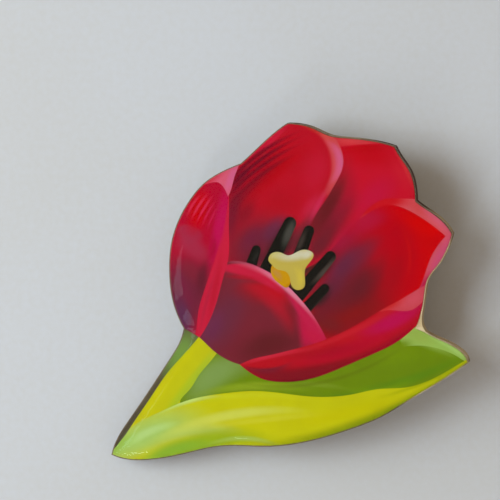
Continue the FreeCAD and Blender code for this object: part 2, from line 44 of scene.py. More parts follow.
MM = 0.001
UP = Vector((0, 0, 1))
FACES_UP = 0.9
LEVEL = 0.9999
NEARLY_STRAIGHT = 1e-3

# Colours of the print, the wood and the metal, as red, green and blue from 0 to 255
SCARLET = (198, 2, 6)
ROSE = (192, 34, 66)
MAGENTA = (184, 14, 78)
CORAL = (204, 78, 86)
PURPLE = (92, 40, 66)
SOOT = (22, 21, 17)
BUTTER = (186, 164, 72)
AMBER = (194, 140, 14)
YELLOW = (190, 184, 14)
BARK = (84, 74, 54)
CHAR = (62, 34, 24)
BIRCH = (206, 186, 148)
BIRCH_GRAIN = (184, 158, 116)
TABLE = (205, 208, 214)


def linear(rgb):
    # A colour as it is seen, turned into the plain amounts of light that shaders take.
    shares = [value / 255 for value in rgb]
    return tuple(s / 12.92 if s <= 0.04045 else ((s + 0.055) / 1.055) ** 2.4 for s in shares) + (1,)


# The plate's own frame: its lower left corner, with the face's height as zero

def face_normal(node):
    total = Vector()
    for polygon in nodes[node].data.polygons:
        if polygon.normal.z > FACES_UP:
            total += polygon.normal * polygon.area
    return total.normalized()


plate_turn = UP.rotation_difference(face_normal("front_veneer")).to_matrix()
plate_unturn = plate_turn.inverted()
turned_plate = [plate_unturn @ vertex.co for vertex in nodes["front_veneer"].data.vertices]
plate_corner = Vector((
    min(point.x for point in turned_plate),
    min(point.y for point in turned_plate),
    max(point.z for point in turned_plate)))


# The camera, far off and almost overhead, as in the photograph

PICTURE_SIZE_PX = 500
FOCAL_LENGTH_PX = 2797
SENSOR = 36
CAMERA_AIM = Vector((-0.006935, 0.007774, 0.008))
CAMERA_LEAN = Vector((0.045, 0.042, 1.0)).normalized()
CAMERA_DISTANCE = 0.5
CAMERA_RIGHT = Vector((0, 1, 0)).cross(CAMERA_LEAN).normalized()
CAMERA_UP = CAMERA_LEAN.cross(CAMERA_RIGHT)
CAMERA_EYE = CAMERA_AIM + CAMERA_LEAN * CAMERA_DISTANCE


def make_camera():
    data = bpy.data.cameras.new("camera")
    data.sensor_width = SENSOR
    data.lens = SENSOR * FOCAL_LENGTH_PX / PICTURE_SIZE_PX
    camera = bpy.data.objects.new("camera", data)
    turn = Matrix((CAMERA_RIGHT, CAMERA_UP, CAMERA_LEAN)).transposed().to_4x4()
    camera.matrix_world = Matrix.Translation(CAMERA_EYE) @ turn
    bpy.context.scene.collection.objects.link(camera)
    bpy.context.scene.camera = camera


def on_plate(picture_px):
    # The place on the print, in millimetres from the plate's corner, that the picture shows there.
    half = PICTURE_SIZE_PX / 2
    ray = (CAMERA_RIGHT * (picture_px[0] - half) + CAMERA_UP * (half - picture_px[1])
           - CAMERA_LEAN * FOCAL_LENGTH_PX)
    eye = plate_unturn @ CAMERA_EYE - plate_corner
    ray = plate_unturn @ ray
    hit = eye - ray * (eye.z / ray.z)
    return Vector((hit.x, hit.y)) / MM


PX_PER_MM = 1 / (on_plate((251, 250)) - on_plate((250, 250))).length


# Small helpers for shader nodes

def add_node(tree, kind, **settings):
    made = tree.nodes.new(kind)
    for name, value in settings.items():
        setattr(made, name, value)
    return made


def feed(tree, socket, value):
    if isinstance(value, bpy.types.NodeSocket):
        tree.links.new(value, socket)
    else:
        socket.default_value = value


def maths(tree, operation, *values):
    made = add_node(tree, "ShaderNodeMath", operation=operation)
    for socket, value in zip(made.inputs, values):
        feed(tree, socket, value)
    return made.outputs[0]


def vectors(tree, operation, *values):
    made = add_node(tree, "ShaderNodeVectorMath", operation=operation)
    for socket, value in zip(made.inputs, values):
        feed(tree, socket, value)
    return made.outputs["Value" if operation in ("DOT_PRODUCT", "LENGTH") else "Vector"]


def eased(tree, value, low, high):
    # From 0 where the value is low to 1 where it is high, with soft ends.
    made = add_node(tree, "ShaderNodeMapRange", interpolation_type="SMOOTHSTEP")
    feed(tree, made.inputs["Value"], value)
    feed(tree, made.inputs["From Min"], low)
    feed(tree, made.inputs["From Max"], high)
    return made.outputs["Result"]


def blended(tree, share, under, over):
    made = add_node(tree, "ShaderNodeMix", data_type="RGBA")
    feed(tree, made.inputs[0], share)
    feed(tree, made.inputs[6], under)
    feed(tree, made.inputs[7], over)
    return made.outputs[2]


def noise(tree, place, scale, detail=3.0, roughness=0.5):
    made = add_node(tree, "ShaderNodeTexNoise")
    feed(tree, made.inputs["Vector"], place)
    feed(tree, made.inputs["Scale"], scale)
    made.inputs["Detail"].default_value = detail
    made.inputs["Roughness"].default_value = roughness
    return made.outputs["Fac"]


def new_group(name, inputs, outputs):
    tree = bpy.data.node_groups.new(name, "ShaderNodeTree")
    for direction, sockets in (("INPUT", inputs), ("OUTPUT", outputs)):
        for socket_name, kind in sockets.items():
            tree.interface.new_socket(socket_name, in_out=direction, socket_type="NodeSocket" + kind)
    source = add_node(tree, "NodeGroupInput").outputs
    target = add_node(tree, "NodeGroupOutput").inputs
    return tree, source, target


def use_group(tree, group, **values):
    made = add_node(tree, "ShaderNodeGroup", node_tree=group)
    for name, value in values.items():
        feed(tree, made.inputs[name.replace("_", " ").title()], value)
    return made.outputs


def new_material(name):
    material = bpy.data.materials.new(name)
    material.use_nodes = True
    tree = material.node_tree
    return material, tree, tree.nodes["Principled BSDF"]


def plate_place(tree):
    # Object coordinates turned flat, in millimetres from the plate's lower left corner.
    coordinates = add_node(tree, "ShaderNodeTexCoord").outputs["Object"]
    mapping = add_node(tree, "ShaderNodeMapping", vector_type="POINT")
    feed(tree, mapping.inputs["Vector"], coordinates)
    mapping.inputs["Scale"].default_value = (1 / MM,) * 3
    mapping.inputs["Rotation"].default_value = plate_unturn.to_euler()
    mapping.inputs["Location"].default_value = -plate_corner / MM
    return mapping.outputs["Vector"]


def add_bump(tree, shader, height, strength, depth):
    bump = add_node(tree, "ShaderNodeBump")
    bump.inputs["Strength"].default_value = strength
    bump.inputs["Distance"].default_value = depth
    feed(tree, bump.inputs["Height"], height)
    feed(tree, shader.inputs["Normal"], bump.outputs["Normal"])


def centred(tree, value, depth):
    # A noise from 0 to 1 made a shift both ways.
    return maths(tree, "MULTIPLY", maths(tree, "SUBTRACT", value, 0.5), depth)


def mixed_noise(tree, first, second, first_share):
    return maths(tree, "ADD", maths(tree, "MULTIPLY", first, first_share),
                 maths(tree, "MULTIPLY", second, 1 - first_share))


# Shared effects, as node groups. A scale of noise counts its spots for each millimetre.

SOFT_OUTSIDE_SHARE = 0.5
SOFT_INSIDE_SHARE = 0.8
INK_CLOUD_SCALE = 0.22
INK_CLOUD_DEPTH = 0.16
INK_GRAIN_SCALE = 3
INK_GRAIN_DEPTH = 0.07
INK_DEPTH = 0.76
FIGURE_SCALE = 0.5
FIGURE_SHARE = 0.65
PORE_SCALE = 4.5
GRAIN_LOW, GRAIN_HIGH = 0.36, 0.66
SCRATCH_SCALE = 6
SCRATCH_SHARE = 0.6
WEAR_SCALE = 0.5
TARNISH_LOW, TARNISH_HIGH = 0.45, 0.75


def make_stroke_group():
    # A soft brush stroke bent along an arc, wider or narrower on each side of its line.
    tree, source, target = new_group("brush stroke", {
        "Place": "Vector", "Centre": "Vector", "Middle": "Vector", "Side": "Vector", "Radius": "Float",
        "Half Length": "Float", "Inner Width": "Float", "Outer Width": "Float", "Softness": "Float",
        "Strength": "Float"}, {"Mask": "Float"})
    from_centre = vectors(tree, "SUBTRACT", source["Place"], source["Centre"])
    from_centre = vectors(tree, "MULTIPLY", from_centre, (1, 1, 0))
    offset = maths(tree, "SUBTRACT", vectors(tree, "LENGTH", from_centre), source["Radius"])
    outward = maths(tree, "DIVIDE", maths(tree, "MAXIMUM", offset, 0), source["Outer Width"])
    inward = maths(tree, "DIVIDE", maths(tree, "MINIMUM", offset, 0), source["Inner Width"])
    across = maths(tree, "SUBTRACT", outward, inward)
    sideways = vectors(tree, "DOT_PRODUCT", from_centre, source["Side"])
    middle = vectors(tree, "DOT_PRODUCT", from_centre, source["Middle"])
    along = maths(tree, "MULTIPLY", maths(tree, "ARCTAN2", sideways, middle), source["Radius"])
    along = maths(tree, "DIVIDE", along, source["Half Length"])
    reach = maths(tree, "SQRT", maths(tree, "ADD", maths(tree, "MULTIPLY", across, across),
                                      maths(tree, "MULTIPLY", along, along)))
    gone = maths(tree, "ADD", 1, maths(tree, "MULTIPLY", source["Softness"], SOFT_OUTSIDE_SHARE))
    full = maths(tree, "SUBTRACT", 1, maths(tree, "MULTIPLY", source["Softness"], SOFT_INSIDE_SHARE))
    mask = eased(tree, reach, gone, full)
    feed(tree, target["Mask"], maths(tree, "MULTIPLY", mask, source["Strength"]))
    return tree


def make_print_group():
    # Ink on the sheet: faint cloudiness and a fine grain in the colour.
    tree, source, target = new_group(
        "printed ink", {"Place": "Vector", "Colour": "Color"}, {"Colour": "Color"})
    cloud = noise(tree, source["Place"], INK_CLOUD_SCALE, 4, 0.6)
    grain = noise(tree, source["Place"], INK_GRAIN_SCALE, 2, 0.6)
    shift = maths(tree, "ADD", centred(tree, cloud, INK_CLOUD_DEPTH), centred(tree, grain, INK_GRAIN_DEPTH))
    tint = add_node(tree, "ShaderNodeHueSaturation")
    feed(tree, tint.inputs["Value"], maths(tree, "ADD", 1, shift))
    feed(tree, tint.inputs["Color"], source["Colour"])
    depth = vectors(tree, "SCALE", tint.outputs["Color"])
    depth.node.inputs["Scale"].default_value = INK_DEPTH
    feed(tree, target["Colour"], depth)
    return tree


def make_wood_group():
    # Birch: long soft grain, fine pores along it, and a little figure.
    tree, source, target = new_group("birch grain", {
        "Place": "Vector", "Stretch": "Vector", "Light": "Color", "Dark": "Color"},
        {"Colour": "Color", "Height": "Float"})
    along = vectors(tree, "MULTIPLY", source["Place"], source["Stretch"])
    figure = noise(tree, along, FIGURE_SCALE, 5, 0.6)
    pores = noise(tree, along, PORE_SCALE, 3, 0.6)
    dark = eased(tree, mixed_noise(tree, figure, pores, FIGURE_SHARE), GRAIN_LOW, GRAIN_HIGH)
    feed(tree, target["Colour"], blended(tree, dark, source["Light"], source["Dark"]))
    feed(tree, target["Height"], maths(tree, "MULTIPLY", pores, -1))
    return tree


def make_brushed_group():
    # Fine scratches along one direction, with broad patches of wear.
    tree, source, target = new_group("brushed metal", {
        "Place": "Vector", "Stretch": "Vector", "Low": "Float", "High": "Float"},
        {"Roughness": "Float", "Height": "Float", "Tarnish": "Float"})
    along = vectors(tree, "MULTIPLY", source["Place"], source["Stretch"])
    scratches = noise(tree, along, SCRATCH_SCALE, 4, 0.7)
    patches = noise(tree, source["Place"], WEAR_SCALE, 3, 0.6)
    span = maths(tree, "SUBTRACT", source["High"], source["Low"])
    share = mixed_noise(tree, scratches, patches, SCRATCH_SHARE)
    feed(tree, target["Roughness"], maths(tree, "ADD", source["Low"], maths(tree, "MULTIPLY", share, span)))
    feed(tree, target["Height"], scratches)
    feed(tree, target["Tarnish"], eased(tree, patches, TARNISH_LOW, TARNISH_HIGH))
    return tree


stroke_group = make_stroke_group()
print_group = make_print_group()
wood_group = make_wood_group()
brushed_group = make_brushed_group()


# Painting with strokes. Each stroke has a start, a middle and an end, its widths to the left and right
# of its line, a softness and a strength from 0 to 1, and a colour. Its places and widths are in pixels
# of the photograph's 500 by 500 frame, read one by one.

def arc_through(start, middle, end):
    # The circle through three places, and the angles at which the arc starts and how far it sweeps.
    first = middle - start
    second = end - middle
    if abs(first.cross(second)) < NEARLY_STRAIGHT * first.length * second.length:
        middle = middle + Vector((-first.y, first.x)) * NEARLY_STRAIGHT
    a, b, c = start, middle, end
    d = 2 * (a.x * (b.y - c.y) + b.x * (c.y - a.y) + c.x * (a.y - b.y))
    squares = [p.length_squared for p in (a, b, c)]
    centre = Vector((
        (squares[0] * (b.y - c.y) + squares[1] * (c.y - a.y) + squares[2] * (a.y - b.y)) / d,
        (squares[0] * (c.x - b.x) + squares[1] * (a.x - c.x) + squares[2] * (b.x - a.x)) / d))
    angles = [math.atan2(p.y - centre.y, p.x - centre.x) for p in (a, b, c)]
    to_middle = (angles[1] - angles[0] + math.pi) % math.tau - math.pi
    to_end = (angles[2] - angles[1] + math.pi) % math.tau - math.pi
    return centre, angles[0], to_middle + to_end


def stroke_mask(tree, place, stroke):
    start, middle, end, left, right, softness, strength = stroke[:7]
    points = [on_plate(point) for point in (start, middle, end)]
    centre, start_angle, sweep = arc_through(*points)
    radius = (points[0] - centre).length
    angle = start_angle + sweep / 2
    inner, outer = (left, right) if sweep > 0 else (right, left)
    return use_group(
        tree, stroke_group, place=place, centre=(*centre, 0), radius=radius,
        middle=(math.cos(angle), math.sin(angle), 0), side=(-math.sin(angle), math.cos(angle), 0),
        half_length=radius * abs(sweep) / 2, inner_width=inner / PX_PER_MM, outer_width=outer / PX_PER_MM,
        softness=softness, strength=strength)["Mask"]


def print_material(name, base, strokes):
    material, tree, shader = new_material(name)
    place = plate_place(tree)
    colour = linear(base)
    for stroke in strokes:
        colour = blended(tree, stroke_mask(tree, place, stroke), colour, linear(stroke[7]))
    colour = use_group(tree, print_group, place=place, colour=colour)["Colour"]
    feed(tree, shader.inputs["Base Color"], colour)
    shader.inputs["Roughness"].default_value = 0.55
    shader.inputs["Specular IOR Level"].default_value = 0
    return material


UPPER_PETAL_STROKES_PX = [
    ((222, 262), (258, 250), (300, 250), 34, 30, 0.9, 1.0, (112, 30, 46)),
    ((232, 230), (236, 205), (244, 186), 12, 10, 1.0, 0.75, (126, 20, 40)),
    ((262, 240), (276, 228), (286, 218), 9, 12, 1.0, 0.75, PURPLE),
    ((244, 250), (252, 238), (262, 228), 8, 8, 1.0, 0.6, (104, 30, 56)),
    ((304, 222), (312, 210), (324, 194), 9, 7, 1.0, 0.7, ROSE),
    ((288, 250), (299, 238), (310, 222), 8, 7, 1.0, 0.7, (104, 32, 46)),
    ((308, 226), (316, 210), (327, 190), 3, 2.4, 1.0, 0.5, (206, 48, 92)),
    ((262, 210), (280, 204), (298, 206), 10, 8, 1.0, 0.5, (166, 12, 26)),
    ((236, 226), (246, 204), (258, 188), 10, 9, 1.0, 0.7, (146, 16, 32)),
    ((230, 240), (233, 214), (240, 188), 6, 6, 1.0, 0.8, (112, 22, 42)),
    ((306, 190), (318, 172), (322, 152), 14, 10, 1.0, 0.5, (190, 26, 54)),
    ((248, 198), (270, 176), (304, 148), 7, 8, 1.0, 0.8, (178, 0, 12)),
    ((254, 178), (272, 158), (296, 138), 7, 7, 1.0, 0.6, (178, 2, 16)),
    ((238, 169), (260, 150), (290, 124), 4, 3.5, 0.4, 0.9, (192, 22, 50)),
    ((240, 167.5), (253, 158), (270, 148), 1.2, 1.6, 0.6, 0.8, SCARLET),
    ((228, 200), (250, 178), (282, 152), 16, 14, 1.0, 0.5, (126, 4, 26)),
    ((228, 183), (252, 160), (292, 135), 2.4, 2.0, 1.0, 0.8, (92, 6, 28)),
    ((228, 190), (253, 166), (294, 140), 2.1, 1.9, 1.0, 0.8, (94, 6, 28)),
    ((228, 197), (253, 173), (294, 147), 2.1, 1.9, 1.0, 0.75, (98, 8, 28)),
    ((230, 205), (253, 182), (290, 157), 2.4, 2.2, 1.0, 0.65, (102, 10, 28)),
    ((232, 190), (240, 178), (250, 168), 6, 5, 1.0, 0.6, (86, 12, 34)),
    ((232, 212), (244, 196), (264, 178), 3, 3, 1.0, 0.4, (112, 16, 34)),
    ((296, 121), (312, 127), (332, 138), 2, 4, 0.8, 0.7, (196, 50, 34)),
    ((317, 128), (339, 156), (326, 194), 6, 8, 0.45, 0.95, (200, 70, 76)),
    ((332, 144), (341, 160), (334, 180), 3, 5, 1.0, 0.85, (204, 90, 132)),
    ((292, 258), (303, 238), (313, 214), 8, 7, 1.0, 0.85, (112, 34, 46)),
    ((264, 268), (280, 246), (291, 222), 10, 11, 0.8, 0.9, (52, 30, 30)),
    ((284, 282), (290, 288), (298, 296), 5, 5, 0.8, 0.95, (54, 38, 34)),
    ((298, 256), (305, 244), (311, 230), 8.5, 8.5, 0.8, 0.85, (52, 30, 30)),
    ((250, 266), (255, 258), (259, 250), 6, 6, 0.9, 0.8, (60, 28, 34)),
    ((318, 130), (326, 134), (333, 142), 5, 5, 1.0, 0.6, (200, 70, 56)),
    ((240, 224), (246, 214), (254, 206), 6, 6, 1.0, 0.5, (118, 16, 34)),
]
BACK_PETAL_STROKES_PX = [
    ((342, 158), (364, 156), (398, 160), 10, 10, 1.0, 0.7, (184, 0, 14)),
    ((356, 214), (374, 198), (392, 180), 14, 14, 1.0, 0.6, (186, 18, 62)),
    ((392, 160), (402, 176), (412, 192), 8, 6, 1.0, 0.6, (194, 26, 44)),
    ((344, 168), (334, 196), (306, 262), 14, 24, 1.0, 0.95, (118, 28, 40)),
    ((344, 180), (330, 208), (314, 236), 6, 12, 1.0, 0.85, (98, 24, 28)),
    ((356, 176), (348, 200), (330, 224), 6, 8, 1.0, 0.5, (148, 16, 44)),
    ((326, 262), (342, 242), (364, 218), 9, 6, 1.0, 0.7, (160, 20, 56)),
    ((360, 236), (374, 226), (388, 214), 7, 6, 1.0, 0.6, (168, 22, 62)),
    ((356, 198), (338, 222), (318, 252), 9, 9, 1.0, 0.75, (122, 24, 42)),
    ((334, 222), (326, 238), (316, 256), 7, 7, 1.0, 0.6, (98, 26, 34)),
    ((310, 258), (318, 247), (328, 236), 8, 8, 1.0, 0.75, (104, 28, 40)),
    ((392, 146), (403, 164), (414, 190), 2.4, 2, 0.8, 0.6, (206, 50, 54)),
    ((396.5, 146), (407.5, 164), (416.5, 192), 0.7, 1.6, 0.5, 0.8, (172, 112, 112)),
    ((336, 152), (362, 148), (394, 148), 4, 5, 1.0, 0.7, (178, 0, 10)),
]
BACK_LIP_STROKES_PX = [
    ((334, 140), (350, 140), (372, 142), 3, 4, 1.0, 0.6, (204, 66, 70)),
    ((384, 140), (392, 142), (400, 146), 4, 4, 1.0, 0.5, (192, 26, 40)),
]
RIGHT_PETAL_STROKES_PX = [
    ((318, 340), (352, 312), (392, 296), 36, 22, 1.0, 0.95, (120, 22, 28)),
    ((320, 330), (346, 316), (380, 306), 8, 8, 1.0, 0.7, (134, 20, 20)),
    ((350, 232), (366, 222), (386, 214), 12, 10, 1.0, 0.8, (172, 20, 56)),
    ((322, 254), (338, 244), (358, 232), 8, 10, 1.0, 0.8, (150, 22, 56)),
    ((322, 294), (346, 264), (376, 240), 16, 18, 1.0, 0.85, (116, 28, 50)),
    ((330, 284), (345, 266), (362, 250), 10, 11, 1.0, 0.85, (94, 36, 60)),
    ((350, 300), (364, 286), (378, 270), 12, 12, 1.0, 0.8, (98, 24, 32)),
    ((316, 300), (326, 290), (336, 280), 8, 7, 1.0, 0.6, (104, 30, 48)),
    ((322, 318), (346, 292), (376, 262), 13, 14, 1.0, 0.75, (98, 28, 38)),
    ((312, 316), (324, 322), (344, 330), 9, 9, 1.0, 0.7, (106, 28, 32)),
    ((350, 270), (362, 254), (378, 240), 7, 8, 1.0, 0.5, (118, 32, 52)),
    ((376, 262), (392, 242), (404, 222), 8, 8, 1.0, 0.6, (176, 0, 22)),
    ((382, 296), (392, 276), (400, 256), 9, 9, 1.0, 0.7, (158, 8, 24)),
    ((372, 290), (379, 272), (386, 252), 8, 7, 1.0, 0.5, (132, 20, 34)),
    ((310, 258), (322, 262), (334, 250), 9, 9, 1.0, 0.7, (112, 26, 44)),
    ((316, 300), (330, 290), (344, 276), 9, 9, 1.0, 0.7, (96, 34, 54)),
    ((312, 322), (322, 308), (336, 296), 8, 9, 1.0, 0.65, (100, 28, 40)),
    ((308, 260), (320, 254), (338, 240), 1.6, 1.8, 1.0, 0.8, (176, 14, 28)),
    ((302, 276), (308, 268), (314, 264), 5, 5, 0.9, 0.9, (70, 38, 34)),
    ((298, 302), (306, 293), (318, 284), 4, 4, 0.9, 0.95, (100, 32, 46)),
    ((284, 282), (290, 288), (298, 296), 5, 5, 0.8, 0.95, (54, 38, 34)),
    ((304, 284), (319, 271), (333, 255), 8.5, 8.5, 0.8, 0.85, (50, 30, 30)),
    ((306, 308), (318, 299), (330, 287), 7.5, 7.5, 0.8, 0.85, (50, 30, 32)),
    ((384, 206), (424, 232), (402, 304), 13, 14, 0.9, 1.0, (194, 0, 6)),
    ((402, 214), (426, 226), (446, 238), 5, 9, 0.9, 0.9, (202, 0, 0)),
    ((400, 226), (410, 252), (404, 284), 1.6, 1.6, 1.0, 0.4, (206, 20, 10)),
    ((386, 220), (398, 246), (392, 278), 1.6, 1.6, 1.0, 0.35, (170, 0, 20)),
]
RIGHT_RIM_STROKES_PX = [
    ((352, 222), (374, 204), (410, 202), 8, 10, 0.6, 1.0, (193, 16, 28)),
    ((410, 203), (418, 207), (428, 214), 5, 7, 1.0, 0.7, (196, 62, 62)),
    ((424, 208), (440, 218), (454, 234), 7, 7, 0.9, 0.85, (204, 88, 112)),
    ((440, 216), (450, 226), (455, 238), 2.5, 2, 0.8, 0.7, (214, 120, 158)),
    ((452, 234), (442, 256), (428, 280), 8, 8, 0.9, 0.95, (196, 74, 108)),
    ((430, 274), (424, 286), (420, 298), 6, 6, 1.0, 0.9, (180, 22, 68)),
]
LEFT_PETAL_STROKES_PX = [
    ((174, 340), (182, 300), (206, 262), 34, 30, 0.7, 1.0, (108, 32, 52)),
    ((176, 232), (186, 230), (202, 240), 6, 16, 0.5, 0.85, (156, 36, 62)),
    ((176, 244), (192, 246), (206, 262), 9, 10, 0.9, 0.7, (158, 44, 70)),
    ((182, 262), (192, 272), (204, 284), 8, 8, 1.0, 0.7, (124, 32, 48)),
    ((204, 296), (202, 280), (208, 262), 6, 5, 1.0, 0.8, (92, 26, 40)),
    # Partly the petal's own dark print, partly a painted reflection: these two strokes paint the resin
    # rim's violet sheen into the ink along the lower left edge.
    ((174, 268), (182, 282), (192, 306), 5, 5, 1.0, 0.5, (120, 30, 60)),
    ((188, 340), (184, 318), (178, 296), 8, 8, 1.0, 0.8, (86, 44, 76)),
    ((202, 188), (199, 210), (193, 230), 11, 11, 0.9, 1.0, (186, 0, 14)),
    ((226, 190), (223, 214), (212, 262), 7, 7, 0.9, 0.9, MAGENTA),
    ((214, 236), (214, 248), (208, 260), 3, 3, 1.0, 0.7, (158, 6, 44)),
    ((194, 190), (182, 210), (173, 236), 4, 4, 1.0, 0.7, (174, 14, 48)),
    ((188, 215), (193, 205), (200, 196), 1.4, 1.4, 0.9, 0.7, (204, 40, 72)),
    ((193, 217), (199, 206), (207, 195), 1.4, 1.4, 0.9, 0.75, (206, 44, 76)),
    ((198, 220), (204, 209), (212, 197), 1.3, 1.3, 0.9, 0.75, (204, 40, 78)),
    ((203, 224), (208, 213), (215, 202), 1.2, 1.2, 0.9, 0.6, (202, 34, 78)),
    ((208, 228), (212, 218), (217, 208), 1.2, 1.2, 0.9, 0.5, (202, 30, 80)),
]
LEFT_FOLD_STROKES_PX = [
    ((199, 336), (206, 304), (215, 274), 1.8, 2.0, 1.0, 0.5, (160, 30, 56)),
    ((208, 322), (215, 292), (222, 256), 3.0, 2.6, 1.0, 0.6, (174, 18, 38)),
    ((229.5, 196), (230, 226), (228, 262), 1.4, 1.4, 1.0, 0.7, (200, 26, 52)),
    ((226, 200), (224, 222), (221, 246), 2, 2, 1.0, 0.8, (186, 22, 70)),
]
LEFT_TIP_STROKES_PX = [
    ((190, 196), (205, 182), (222, 172), 4, 6, 0.9, 0.9, (198, 40, 58)),
    ((226, 192), (231, 180), (237, 165), 4, 4, 0.9, 0.85, (204, 92, 132)),
]
FRONT_PETAL_STROKES_PX = [
    ((212, 352), (224, 322), (244, 290), 20, 16, 1.0, 0.9, (104, 40, 58)),
    ((204, 344), (212, 330), (222, 312), 9, 9, 1.0, 0.8, (104, 42, 72)),
    ((240, 358), (268, 344), (302, 342), 14, 14, 1.0, 0.9, (94, 28, 32)),
    ((236, 290), (258, 288), (280, 300), 6, 14, 1.0, 0.75, (152, 18, 28)),
    ((256, 285), (274, 290), (288, 306), 7, 9, 1.0, 0.9, (186, 12, 28)),
    ((284, 300), (290, 314), (294, 330), 6, 6, 1.0, 0.5, (140, 16, 30)),
    ((246, 284), (272, 300), (290, 328), 6, 8, 1.0, 0.65, (182, 20, 38)),
    ((300, 300), (306, 324), (308, 356), 8, 8, 0.9, 1.0, (180, 22, 62)),
    ((286, 290), (304, 310), (330, 352), 8, 7, 0.5, 1.0, (188, 28, 68)),
    ((220, 268), (246, 268), (284, 292), 4, 9, 0.3, 1.0, (190, 28, 58)),
    ((228, 276), (242, 277), (262, 280), 2.5, 2.5, 1.0, 0.7, (176, 16, 38)),
    ((306, 330), (315, 338), (326, 346), 6, 6, 0.6, 1.0, (188, 24, 62)),
    ((236, 261), (268, 272), (317, 320), 3.5, 4.5, 0.9, 0.9, (204, 86, 112)),
    ((264, 271), (290, 290), (312, 314), 3, 3.4, 0.9, 0.8, (216, 124, 148)),
]
LOWER_PETAL_STROKES_PX = [
    ((246, 376), (310, 372), (404, 340), 10, 12, 1.0, 0.85, (132, 14, 24)),
    ((240, 370), (290, 376), (352, 360), 7, 10, 1.0, 0.95, (124, 18, 30)),
    ((352, 362), (386, 348), (418, 322), 6, 8, 1.0, 0.7, (142, 6, 34)),
    ((246, 367), (262, 370), (290, 363), 2, 4, 1.0, 0.8, (112, 26, 42)),
    ((300, 362), (356, 346), (412, 318), 6, 8, 1.0, 0.9, (182, 8, 40)),
    ((364, 332), (392, 322), (422, 304), 8, 7, 1.0, 0.95, (184, 12, 76)),
    ((242, 364), (276, 355), (312, 349), 3, 2.2, 0.8, 0.95, (200, 38, 58)),
    ((290, 353), (340, 337), (404, 301), 3, 3, 0.8, 0.85, (190, 28, 40)),
    ((262, 381), (320, 378), (400, 343), 2, 2, 1.0, 0.7, (84, 12, 22)),
    ((284, 356), (330, 352), (372, 342), 6, 6, 1.0, 0.4, (140, 10, 30)),
]
GLOW_STROKES_PX = [
    ((376, 314), (392, 303), (404, 298), 6, 6, 1.0, 0.9, (196, 34, 34)),
    ((404, 305), (414, 299), (424, 288), 6, 6, 1.0, 0.7, (204, 76, 92)),
]
FRONT_LEAF_STROKES_PX = [
    ((104, 462), (140, 440), (196, 420), 20, 13, 1.0, 0.9, (156, 186, 98)),
    ((120, 450), (144, 434), (172, 424), 4, 4, 1.0, 0.6, (184, 208, 132)),
    ((166, 438), (198, 430), (234, 430), 6, 6, 1.0, 0.6, (170, 190, 104)),
    ((104, 458), (118, 446), (136, 436), 7, 7, 1.0, 0.7, (138, 174, 66)),
    ((150, 466), (200, 444), (264, 440), 12, 7, 0.9, 0.9, (140, 162, 26)),
    ((136, 468), (172, 450), (214, 445), 7, 6, 1.0, 0.8, (128, 168, 50)),
    ((214, 442), (246, 438), (276, 444), 2.4, 2.4, 1.0, 0.7, (160, 180, 84)),
    ((166, 434), (220, 417), (290, 410), 5, 5, 1.0, 0.8, (200, 200, 84)),
    ((200, 428), (260, 420), (330, 414), 3, 3, 1.0, 0.5, (200, 192, 50)),
    ((190, 404), (240, 395), (310, 399), 2.2, 3.5, 1.0, 0.6, (190, 190, 30)),
    ((290, 424), (350, 412), (410, 394), 8, 8, 1.0, 0.8, (190, 180, 0)),
    ((160, 412), (184, 402), (214, 396), 1.8, 2.6, 1.0, 0.8, (184, 206, 116)),
    ((262, 446), (372, 420), (470, 362), 7, 12, 1.0, 0.95, (128, 138, 6)),
    ((392, 410), (434, 390), (472, 362), 5, 10, 1.0, 0.9, (106, 128, 8)),
    ((384, 396), (424, 382), (466, 361), 1.8, 2.2, 0.9, 0.8, (154, 160, 4)),
    ((404, 408), (440, 388), (472, 364), 3, 3, 0.9, 0.8, (98, 142, 24)),
    ((250, 447), (350, 433), (464, 370), 2.4, 3, 1.0, 0.8, (84, 98, 20)),
    ((150, 461), (215, 449), (290, 447), 1.2, 1.6, 1.0, 0.7, (100, 110, 34)),
]
STEM_STROKES_PX = [
    ((218, 348), (190, 386), (160, 422), 2, 6, 0.7, 0.85, (158, 178, 40)),
    ((204, 340), (176, 372), (140, 424), 3, 3, 0.9, 0.6, (192, 182, 6)),
    ((196, 372), (182, 390), (168, 408), 2, 2, 1.0, 0.5, (180, 186, 20)),
]
LEAF_SHADOW_STROKES_PX = [
    ((190, 330), (184, 346), (166, 374), 12, 10, 1.0, 1.0, (108, 136, 60)),
    ((180, 340), (150, 388), (114, 448), 2.2, 2.4, 1.0, 0.85, (66, 56, 46)),
    ((156, 396), (136, 424), (116, 450), 2.2, 2.2, 1.0, 0.8, (112, 122, 92)),
]
BACK_LEAF_STROKES_PX = [
    ((192, 402), (214, 374), (250, 364), 13, 14, 1.0, 0.9, (124, 148, 78)),
    ((206, 392), (246, 386), (300, 388), 4, 5, 1.0, 0.7, (142, 160, 36)),
    ((286, 386), (316, 384), (344, 388), 2.4, 3, 1.0, 0.5, (128, 148, 44)),
    ((330, 396), (390, 386), (460, 358), 5, 4, 1.0, 0.7, (84, 126, 20)),
    ((370, 366), (404, 352), (440, 352), 10, 10, 1.0, 0.5, (114, 138, 10)),
    ((250, 384), (330, 380), (404, 346), 1.6, 2.4, 1.0, 0.6, (96, 110, 16)),
    ((352, 390), (380, 391), (408, 382), 4, 4, 1.0, 0.6, (126, 150, 8)),
    ((412, 340), (430, 344), (452, 354), 3, 5, 1.0, 0.7, (142, 168, 66)),
]
LEAF_RIM_STROKES_PX = [
    ((404, 334), (418, 336), (434, 342), 6, 7, 1.0, 0.8, (148, 168, 72)),
    ((386, 356), (400, 347), (412, 344), 7, 4, 0.8, 1.0, (112, 136, 20)),
    ((430, 336), (450, 346), (468, 360), 1.6, 3, 1.0, 0.9, (164, 194, 104)),
]
